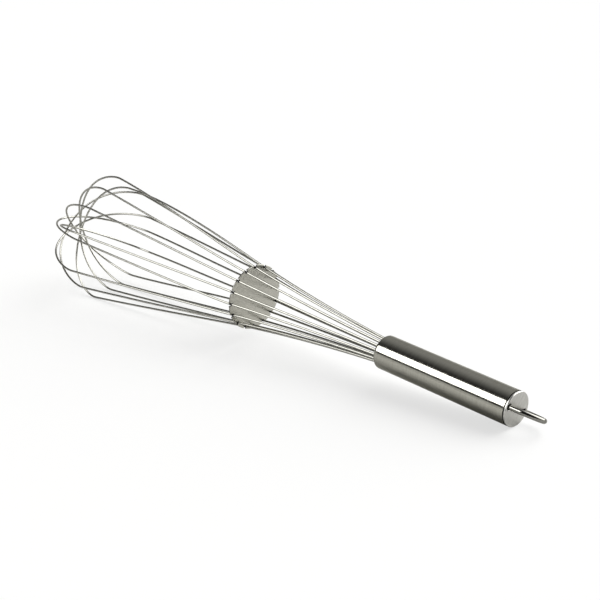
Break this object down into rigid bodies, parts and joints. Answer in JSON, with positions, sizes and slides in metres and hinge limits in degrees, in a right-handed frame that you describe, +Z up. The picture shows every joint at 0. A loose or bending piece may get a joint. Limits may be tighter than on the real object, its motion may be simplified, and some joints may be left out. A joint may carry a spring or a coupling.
{
  "type": "balloon whisk",
  "caption": "Long steel balloon whisk: tube handle with a hanging loop, a cage of bent wire loops sealed in its mouth, and a notched disc that braces the wires.",
  "frame": {"origin": "middle of the whisk's box, on the table it lies on", "axes": "+X along the whisk towards the handle and its hanging loop, +Z up from the table"},
  "size_m": [0.512, 0.089, 0.0976],
  "materials": {
    "handle_steel": "polished, with faint brushing round the tube",
    "cap_steel": "satin",
    "loop_steel": "polished",
    "disc_steel": "satin, brushed one way",
    "wire_steel": "polished spring wire",
    "seal_resin": "cast resin, dull"
  },
  "bodies": {
    "root": {"handle_tube": "handle_steel", "end_cap": "cap_steel", "hanging_loop": "loop_steel", "wire_seal": "seal_resin", "spacer_disc": "disc_steel", "wire_loop_1": "wire_steel", "wire_loop_2": "wire_steel", "wire_loop_3": "wire_steel", "wire_loop_4": "wire_steel", "wire_loop_5": "wire_steel", "wire_loop_6": "wire_steel", "wire_loop_7": "wire_steel", "wire_loop_8": "wire_steel"}
  },
  "joints": []
}
